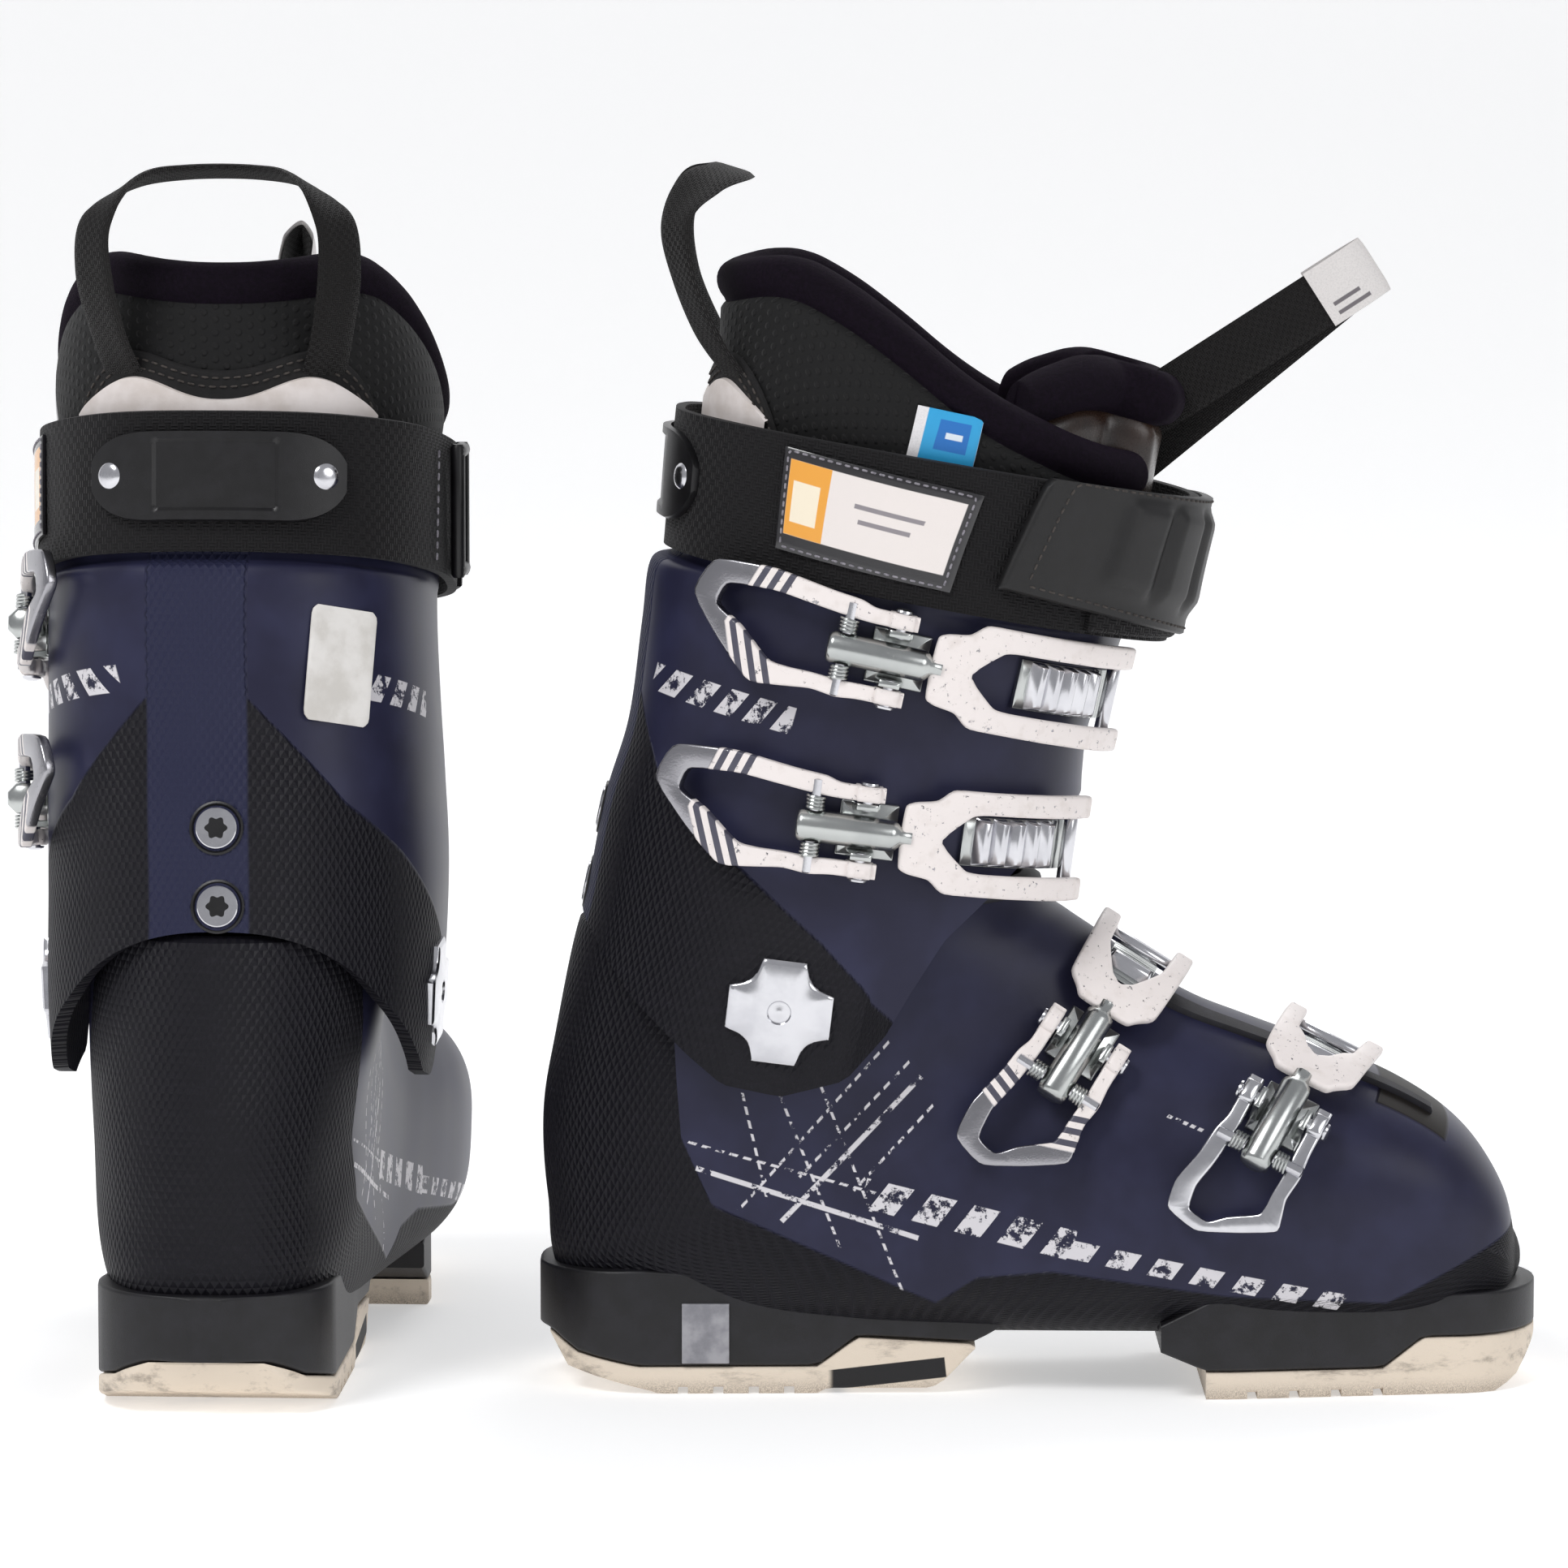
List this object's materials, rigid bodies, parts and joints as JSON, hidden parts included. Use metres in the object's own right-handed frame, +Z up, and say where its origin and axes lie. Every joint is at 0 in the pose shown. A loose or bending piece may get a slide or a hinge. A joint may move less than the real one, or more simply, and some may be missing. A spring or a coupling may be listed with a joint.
{
  "type": "alpine ski boots",
  "caption": "Pair of alpine ski boots with hinged cuffs, four over-centre buckles each, inner boots, power straps and treaded soles.",
  "frame": {"origin": "on the ground, under the middle of the pair's bounding box", "axes": "+Z up, +X towards the right boot's toe, +Y towards the left boot's toe"},
  "size_m": [0.4568, 0.2974, 0.3628],
  "materials": {
    "navy_plastic": "satin moulded polyurethane, dark navy, textured at the heel",
    "sole_rubber": "cream sole pads, worn and dirty",
    "liner_fabric": "black padded inner boot with fleece collar",
    "polished_alloy": "polished, lightly scratched",
    "zinc_steel": "bright zinc plating",
    "white_alloy": "off-white paint, chipped at the edges",
    "white_plastic": "off-white moulded plastic",
    "black_webbing": "woven polyamide webbing",
    "black_plastic": "black moulded plastic"
  },
  "bodies": {
    "root": {"right_lower_shell": "navy_plastic", "right_heel_sole": "sole_rubber", "right_toe_sole": "sole_rubber", "right_liner_foot": "liner_fabric", "right_pivot_lateral": "polished_alloy", "right_pivot_medial": "polished_alloy", "right_buckle_3_base": "zinc_steel", "right_buckle_4_base": "zinc_steel", "right_buckle_3_ladder": "zinc_steel", "right_buckle_4_ladder": "zinc_steel", "left_lower_shell": "navy_plastic", "left_heel_sole": "sole_rubber", "left_toe_sole": "sole_rubber", "left_liner_foot": "liner_fabric", "left_pivot_lateral": "polished_alloy", "left_pivot_medial": "polished_alloy", "left_buckle_3_base": "zinc_steel", "left_buckle_4_base": "zinc_steel", "left_buckle_3_ladder": "zinc_steel", "left_buckle_4_ladder": "zinc_steel"},
    "right_cuff_body": {"right_cuff": "navy_plastic", "right_spoiler": "white_plastic", "right_spine_screws": "polished_alloy", "right_liner": "liner_fabric", "right_tongue": "liner_fabric", "right_heel_loop": "black_webbing", "right_power_strap": "black_webbing", "right_strap_badge": "black_plastic", "right_buckle_1_base": "zinc_steel", "right_buckle_2_base": "zinc_steel", "right_buckle_1_ladder": "zinc_steel", "right_buckle_2_ladder": "zinc_steel"},
    "right_lever_1": {"right_buckle_1_lever": "white_alloy"},
    "right_bail_1": {"right_buckle_1_bail": "white_alloy"},
    "right_lever_2": {"right_buckle_2_lever": "white_alloy"},
    "right_bail_2": {"right_buckle_2_bail": "white_alloy"},
    "right_lever_3": {"right_buckle_3_lever": "white_alloy"},
    "right_bail_3": {"right_buckle_3_bail": "white_alloy"},
    "right_lever_4": {"right_buckle_4_lever": "polished_alloy"},
    "right_bail_4": {"right_buckle_4_bail": "white_alloy"},
    "left_cuff_body": {"left_cuff": "navy_plastic", "left_spoiler": "white_plastic", "left_spine_screws": "polished_alloy", "left_liner": "liner_fabric", "left_tongue": "liner_fabric", "left_heel_loop": "black_webbing", "left_power_strap": "black_webbing", "left_strap_badge": "black_plastic", "left_buckle_1_base": "zinc_steel", "left_buckle_2_base": "zinc_steel", "left_buckle_1_ladder": "zinc_steel", "left_buckle_2_ladder": "zinc_steel"},
    "left_lever_1": {"left_buckle_1_lever": "white_alloy"},
    "left_bail_1": {"left_buckle_1_bail": "white_alloy"},
    "left_lever_2": {"left_buckle_2_lever": "white_alloy"},
    "left_bail_2": {"left_buckle_2_bail": "white_alloy"},
    "left_lever_3": {"left_buckle_3_lever": "white_alloy"},
    "left_bail_3": {"left_buckle_3_bail": "white_alloy"},
    "left_lever_4": {"left_buckle_4_lever": "polished_alloy"},
    "left_bail_4": {"left_buckle_4_bail": "white_alloy"}
  },
  "joints": [
    {"name": "right_cuff_flex", "type": "hinge", "parent": "root", "child": "right_cuff_body", "pos_m": [0.00244, -0.07272, 0.117], "axis": [0, 1, 0], "range_deg": [0, 6], "stiffness_Nm_per_rad": 200},
    {"name": "right_buckle_1_lever", "type": "hinge", "parent": "right_cuff_body", "child": "right_lever_1", "pos_m": [0.03549, -0.13737, 0.22079], "axis": [0.2147, 0.0169, 0.9765], "range_deg": [0, 130]},
    {"name": "right_buckle_1_bail", "type": "hinge", "parent": "right_lever_1", "child": "right_bail_1", "pos_m": [0.02085, -0.13764, 0.22402], "axis": [0.2147, 0.0169, 0.9765], "range_deg": [-149.5, 0]},
    {"name": "right_buckle_2_lever", "type": "hinge", "parent": "right_cuff_body", "child": "right_lever_2", "pos_m": [0.02671, -0.13618, 0.17055], "axis": [0.134, -0.0159, 0.9909], "range_deg": [0, 130]},
    {"name": "right_buckle_2_bail", "type": "hinge", "parent": "right_lever_2", "child": "right_bail_2", "pos_m": [0.01186, -0.13678, 0.17255], "axis": [0.134, -0.0159, 0.9909], "range_deg": [-149.5, 0]},
    {"name": "right_buckle_3_lever", "type": "hinge", "parent": "root", "child": "right_lever_3", "pos_m": [0.0917, -0.11091, 0.10575], "axis": [-0.844, 0.0976, 0.5274], "range_deg": [0, 130]},
    {"name": "right_buckle_3_bail", "type": "hinge", "parent": "right_lever_3", "child": "right_bail_3", "pos_m": [0.0839, -0.11679, 0.09436], "axis": [-0.844, 0.0976, 0.5274], "range_deg": [-149.5, 0]},
    {"name": "right_buckle_4_lever", "type": "hinge", "parent": "root", "child": "right_lever_4", "pos_m": [0.14984, -0.11962, 0.0865], "axis": [-0.8789, 0.2094, 0.4287], "range_deg": [0, 130]},
    {"name": "right_buckle_4_bail", "type": "hinge", "parent": "right_lever_4", "child": "right_bail_4", "pos_m": [0.14273, -0.12693, 0.0755], "axis": [-0.8789, 0.2094, 0.4287], "range_deg": [-149.5, 0]},
    {"name": "left_cuff_flex", "type": "hinge", "parent": "root", "child": "left_cuff_body", "pos_m": [-0.16016, -0.07686, 0.117], "axis": [-0.9981, 0.061, 0], "range_deg": [0, 6], "stiffness_Nm_per_rad": 200},
    {"name": "left_buckle_1_lever", "type": "hinge", "parent": "left_cuff_body", "child": "left_lever_1", "pos_m": [-0.22267, -0.03992, 0.22079], "axis": [-0.03, -0.2133, -0.9765], "range_deg": [0, 130]},
    {"name": "left_buckle_1_bail", "type": "hinge", "parent": "left_lever_1", "child": "left_bail_1", "pos_m": [-0.22384, -0.05452, 0.22402], "axis": [-0.03, -0.2133, -0.9765], "range_deg": [-149.5, 0]},
    {"name": "left_buckle_2_lever", "type": "hinge", "parent": "left_cuff_body", "child": "left_lever_2", "pos_m": [-0.22202, -0.04876, 0.17055], "axis": [0.0077, -0.1347, -0.9909], "range_deg": [0, 130]},
    {"name": "left_buckle_2_bail", "type": "hinge", "parent": "left_lever_2", "child": "left_bail_2", "pos_m": [-0.22353, -0.06355, 0.17255], "axis": [0.0077, -0.1347, -0.9909], "range_deg": [-149.5, 0]},
    {"name": "left_buckle_3_lever", "type": "hinge", "parent": "root", "child": "left_lever_3", "pos_m": [-0.19283, 0.01456, 0.10575], "axis": [-0.0459, 0.8484, -0.5274], "range_deg": [0, 130]},
    {"name": "left_buckle_3_bail", "type": "hinge", "parent": "left_lever_3", "child": "left_bail_3", "pos_m": [-0.19918, 0.00714, 0.09436], "axis": [-0.0459, 0.8484, -0.5274], "range_deg": [-149.5, 0]},
    {"name": "left_buckle_4_lever", "type": "hinge", "parent": "root", "child": "left_lever_4", "pos_m": [-0.19798, 0.07313, 0.0865], "axis": [-0.1553, 0.89, -0.4287], "range_deg": [0, 130]},
    {"name": "left_buckle_4_bail", "type": "hinge", "parent": "left_lever_4", "child": "left_bail_4", "pos_m": [-0.20571, 0.06648, 0.0755], "axis": [-0.1553, 0.89, -0.4287], "range_deg": [-149.5, 0]}
  ],
  "couplings": [
    {"joint": "right_buckle_1_bail", "follows": "right_buckle_1_lever", "ratio": -1.15},
    {"joint": "right_buckle_2_bail", "follows": "right_buckle_2_lever", "ratio": -1.15},
    {"joint": "right_buckle_3_bail", "follows": "right_buckle_3_lever", "ratio": -1.15},
    {"joint": "right_buckle_4_bail", "follows": "right_buckle_4_lever", "ratio": -1.15},
    {"joint": "left_buckle_1_bail", "follows": "left_buckle_1_lever", "ratio": -1.15},
    {"joint": "left_buckle_2_bail", "follows": "left_buckle_2_lever", "ratio": -1.15},
    {"joint": "left_buckle_3_bail", "follows": "left_buckle_3_lever", "ratio": -1.15},
    {"joint": "left_buckle_4_bail", "follows": "left_buckle_4_lever", "ratio": -1.15}
  ]
}
